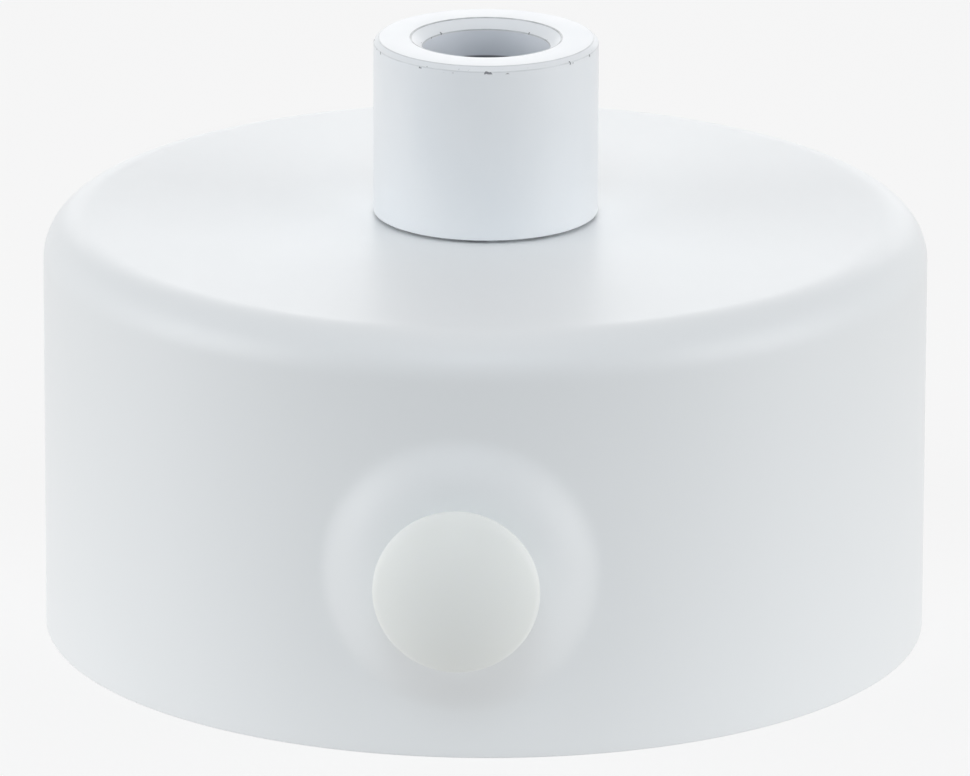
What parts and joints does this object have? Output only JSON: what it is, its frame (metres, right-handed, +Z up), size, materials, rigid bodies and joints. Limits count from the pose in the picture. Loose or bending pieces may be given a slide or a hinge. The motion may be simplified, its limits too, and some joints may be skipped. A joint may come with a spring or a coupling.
{
  "type": "ceiling rose",
  "caption": "Small round steel ceiling rose with a chamfered top collar, an embossed side boss with a domed fixing knob, and a strip bracket with terminals inside.",
  "frame": {"origin": "centre of the cup's open rim, in the ceiling plane, midway between the two fixing slots", "axes": "+Z up through the collar (away from the ceiling), -Y towards the knob"},
  "size_m": [0.08, 0.0879, 0.0549],
  "materials": {
    "cup_paint": "satin white powder coat",
    "collar_paint": "satin white paint",
    "knob_plastic": "smooth matte white plastic",
    "zinc_steel": "zinc plated steel",
    "brass": "plain brass",
    "clamp_nylon": "natural nylon",
    "block_nylon": "moulded nylon"
  },
  "bodies": {
    "rose": {"canopy_cup": "cup_paint", "top_collar": "collar_paint", "threaded_nipple": "zinc_steel", "lock_washer": "zinc_steel", "earth_tag": "zinc_steel", "earth_tag_screw": "brass", "nipple_nut": "zinc_steel", "cord_clamp_body": "clamp_nylon", "cord_clamp_screw": "clamp_nylon", "ceiling_bracket": "zinc_steel", "press_nut": "zinc_steel", "locating_pin": "zinc_steel", "terminal_block": "block_nylon", "earth_cup_washer": "brass", "bracket_earth_screw": "brass", "terminal_sleeve_1": "brass", "terminal_sleeve_2": "brass", "terminal_sleeve_3": "brass", "terminal_screw_1": "zinc_steel", "terminal_screw_2": "zinc_steel", "terminal_screw_3": "zinc_steel", "terminal_screw_4": "zinc_steel", "terminal_screw_5": "zinc_steel", "terminal_screw_6": "zinc_steel", "block_fixing_screw_1": "zinc_steel", "block_fixing_screw_2": "zinc_steel"},
    "washer": {"saddle_washer": "clamp_nylon"},
    "knob": {"knob_head": "knob_plastic", "knob_stud": "zinc_steel"}
  },
  "joints": [
    {"name": "washer_slide", "type": "slide", "parent": "rose", "child": "washer", "axis": [0, -1, 0], "range_m": [0, 0.0049]},
    {"name": "knob_turn", "type": "hinge", "parent": "washer", "child": "knob", "pos_m": [0, -0.044, 0.01695], "axis": [0, -1, 0], "range_deg": [0, 2520]}
  ],
  "couplings": [
    {"joint": "knob_turn", "follows": "washer_slide", "rad_per_m": 8976}
  ]
}
